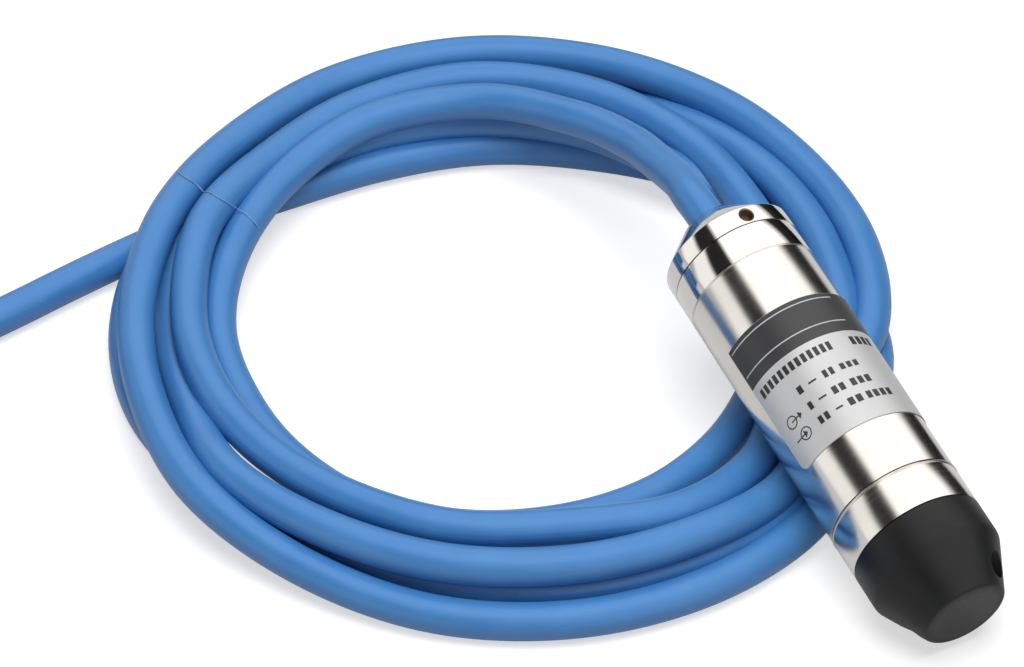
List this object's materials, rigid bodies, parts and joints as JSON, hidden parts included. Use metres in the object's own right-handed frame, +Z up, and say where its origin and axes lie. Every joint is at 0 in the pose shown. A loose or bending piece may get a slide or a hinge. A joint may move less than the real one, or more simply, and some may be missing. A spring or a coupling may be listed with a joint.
{
  "type": "submersible level transmitter",
  "caption": "Submersible level transmitter in polished steel with a black nose cap, lying nose down with its back on a loose coil of blue vented cable.",
  "frame": {"origin": "Middle of the transmitter's own box on the table plane, without the cable outside it: x and y in the middle, z at its lowest point.", "axes": "X runs along the table in the direction the nose points, Z is up, Y is across the case."},
  "size_m": [0.2754, 0.2595, 0.0446],
  "materials": {
    "polished_steel": "polished stainless steel with a faint turned grain",
    "cell_steel": "fine turned stainless steel",
    "black_plastic": "black plastic with fine turning marks",
    "label_foil": "satin silver foil with dark print",
    "cable_blue": "smooth blue plastic jacket with a soft sheen",
    "seal_rubber": "black seal rubber",
    "brass": "bare brass",
    "board_green": "green circuit board lacquer",
    "carrier_plastic": "natural moulded plastic",
    "chip_black": "black moulded epoxy",
    "arrestor_ceramic": "white glazed ceramic",
    "core_red": "red core insulation",
    "core_black": "black core insulation",
    "tinned_copper": "tinned copper strands",
    "vent_tube": "milky plastic tube"
  },
  "bodies": {
    "transmitter": {"end_cap": "polished_steel", "end_cap_o_ring": "seal_rubber", "gland_collar": "polished_steel", "gland_seal": "seal_rubber", "gland_washer": "cell_steel", "strain_relief_ferrule": "brass", "cable_in_gland": "cable_blue", "case_tube": "polished_steel", "label_foil": "label_foil", "sensor_body": "polished_steel", "measuring_cell": "cell_steel", "cell_o_ring": "seal_rubber", "diaphragm": "cell_steel", "cell_retaining_ring": "cell_steel", "insulating_sleeve": "carrier_plastic", "board_carrier": "carrier_plastic", "circuit_board": "board_green", "terminal_block": "carrier_plastic", "amplifier_chip": "chip_black", "regulator_chip": "chip_black", "surge_arrestor": "arrestor_ceramic", "smoothing_capacitor": "chip_black", "cell_ribbon": "tinned_copper", "conductor_red": "core_red", "conductor_black": "core_black", "shield_drain": "tinned_copper", "vent_tube": "vent_tube", "cable_lead": "cable_blue", "cable_coil": "cable_blue", "cable_tail": "cable_blue", "cable_spare_coil": "cable_blue", "cable_end": "cable_blue", "end_core_red": "core_red", "end_core_black": "core_black", "end_shield_drain": "tinned_copper", "end_vent_tube": "vent_tube"},
    "cap": {"nose_cap": "black_plastic"}
  },
  "joints": [
    {"name": "cap_slide", "type": "slide", "parent": "transmitter", "child": "cap", "axis": [0.9744, 0, -0.225], "range_m": [0, 0.012]}
  ]
}
